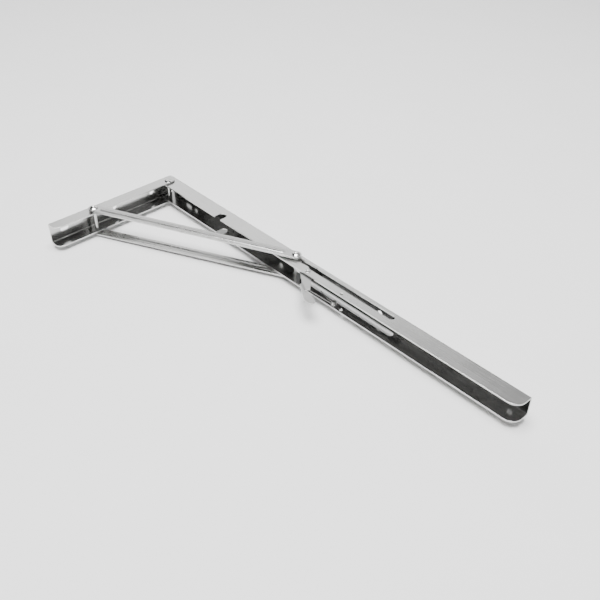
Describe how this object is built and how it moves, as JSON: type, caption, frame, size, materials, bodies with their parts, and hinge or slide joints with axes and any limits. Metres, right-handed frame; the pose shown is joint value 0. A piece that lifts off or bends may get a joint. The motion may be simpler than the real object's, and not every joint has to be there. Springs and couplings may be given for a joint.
{
  "type": "folding shelf bracket",
  "caption": "Stainless folding shelf bracket: a wall leg and a slotted shelf arm, both channels, hinged at the corner and braced by paired struts with a sprung release lever.",
  "frame": {"origin": "on the wall face, half-way between the two round wall screw holes and across the width", "axes": "the bracket lies on its side: +X from the wall along the arm, +Y from the wall leg towards the shelf, +Z across the bracket along all the hinge pins"},
  "size_m": [0.5, 0.163, 0.0356],
  "materials": {
    "satin_sheet": "satin outside, brighter polished inside",
    "brace_steel": "satin, brushed along the length",
    "lever_steel": "satin",
    "rivet_steel": "polished",
    "washer_steel": "satin",
    "spring_steel": "dark satin"
  },
  "bodies": {
    "leg": {"wall_leg": "satin_sheet", "corner_rivet": "rivet_steel", "corner_spacer": "rivet_steel", "brace_rivet": "rivet_steel", "brace_spacer": "rivet_steel", "leg_washer_upper": "washer_steel", "leg_washer_lower": "washer_steel"},
    "arm": {"shelf_arm": "satin_sheet", "lever_rivet": "rivet_steel", "lever_washer": "washer_steel", "spring_post": "rivet_steel", "lever_spring": "spring_steel"},
    "braces": {"upper_brace": "brace_steel", "lower_brace": "brace_steel", "pin_head_upper": "rivet_steel", "pin_head_lower": "rivet_steel", "pin_washer_upper": "washer_steel", "pin_washer_lower": "washer_steel"},
    "pin": {"slide_pin": "rivet_steel"},
    "lever": {"release_lever": "lever_steel"}
  },
  "joints": [
    {"name": "arm_fold", "type": "hinge", "parent": "leg", "child": "arm", "pos_m": [0.0115, 0.043, 0], "axis": [0, 0, -1], "range_deg": [0, 90]},
    {"name": "brace_swing", "type": "hinge", "parent": "leg", "child": "braces", "pos_m": [0.0105, -0.0555, 0], "axis": [0, 0, -1], "range_deg": [0, 114.4]},
    {"name": "pin_travel", "type": "slide", "parent": "arm", "child": "pin", "axis": [1, 0, 0], "range_m": [0, 0.12389]},
    {"name": "lever_release", "type": "hinge", "parent": "arm", "child": "lever", "pos_m": [0.2505, 0.0415, 0], "axis": [0, 0, 1], "range_deg": [0, 16], "stiffness_Nm_per_rad": 0.2, "springref_deg": -5.73, "deforming": ["lever_spring"]}
  ],
  "couplings": [
    {"joint": "brace_swing", "follows": "arm_fold", "ratio": 1.2703},
    {"joint": "pin_travel", "follows": "arm_fold", "m_per_rad": 0.07881}
  ]
}
